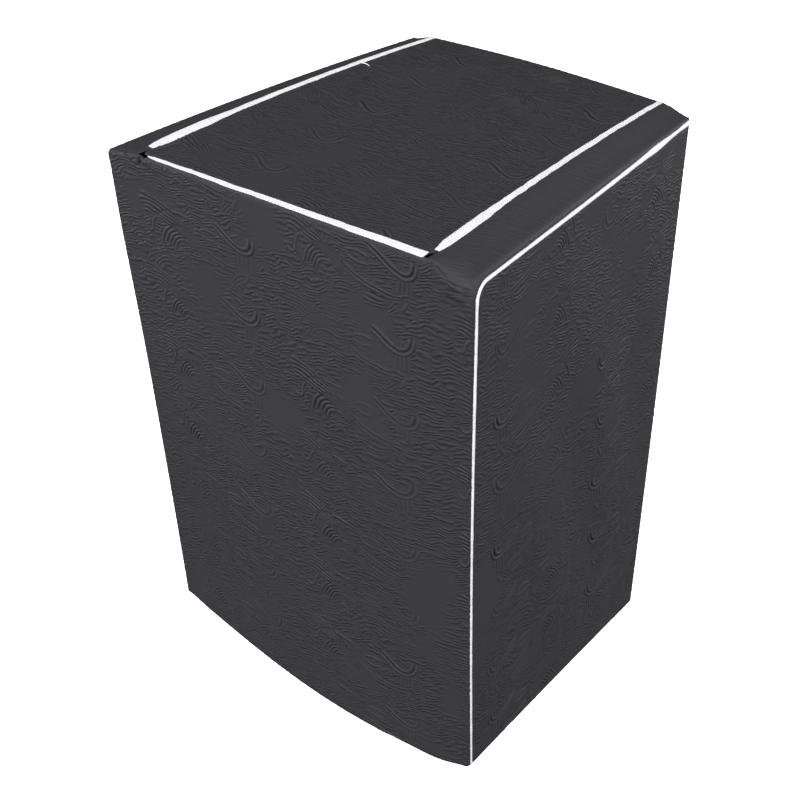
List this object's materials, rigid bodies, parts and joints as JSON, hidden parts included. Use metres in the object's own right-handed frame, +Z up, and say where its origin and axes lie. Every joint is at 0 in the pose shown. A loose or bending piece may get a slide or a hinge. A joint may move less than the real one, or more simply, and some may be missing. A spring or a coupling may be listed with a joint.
{
  "type": "washing machine cover",
  "caption": "Fitted dark embossed cloth cover for a top-loading washing machine, hollow and open below, with a flap on top and white piping and tape.",
  "frame": {"origin": "under the middle of the cover's outer box, at the level of the lowest point of its hem", "axes": "+X to the cover's right seen from the front, +Y to its rear, +Z up"},
  "size_m": [0.6207, 0.6175, 0.8866],
  "materials": {
    "embossed_cloth": "matt coated cloth, charcoal grey, embossed with a swirl relief",
    "white_trim": "matt woven tape and piping, white"
  },
  "bodies": {
    "root": {"front_band": "embossed_cloth", "back_panel": "embossed_cloth", "top_flap": "embossed_cloth", "side_left": "embossed_cloth", "side_right": "embossed_cloth", "piping_left": "white_trim", "piping_right": "white_trim", "binding_left": "white_trim", "binding_right": "white_trim", "binding_front": "white_trim"}
  },
  "joints": []
}
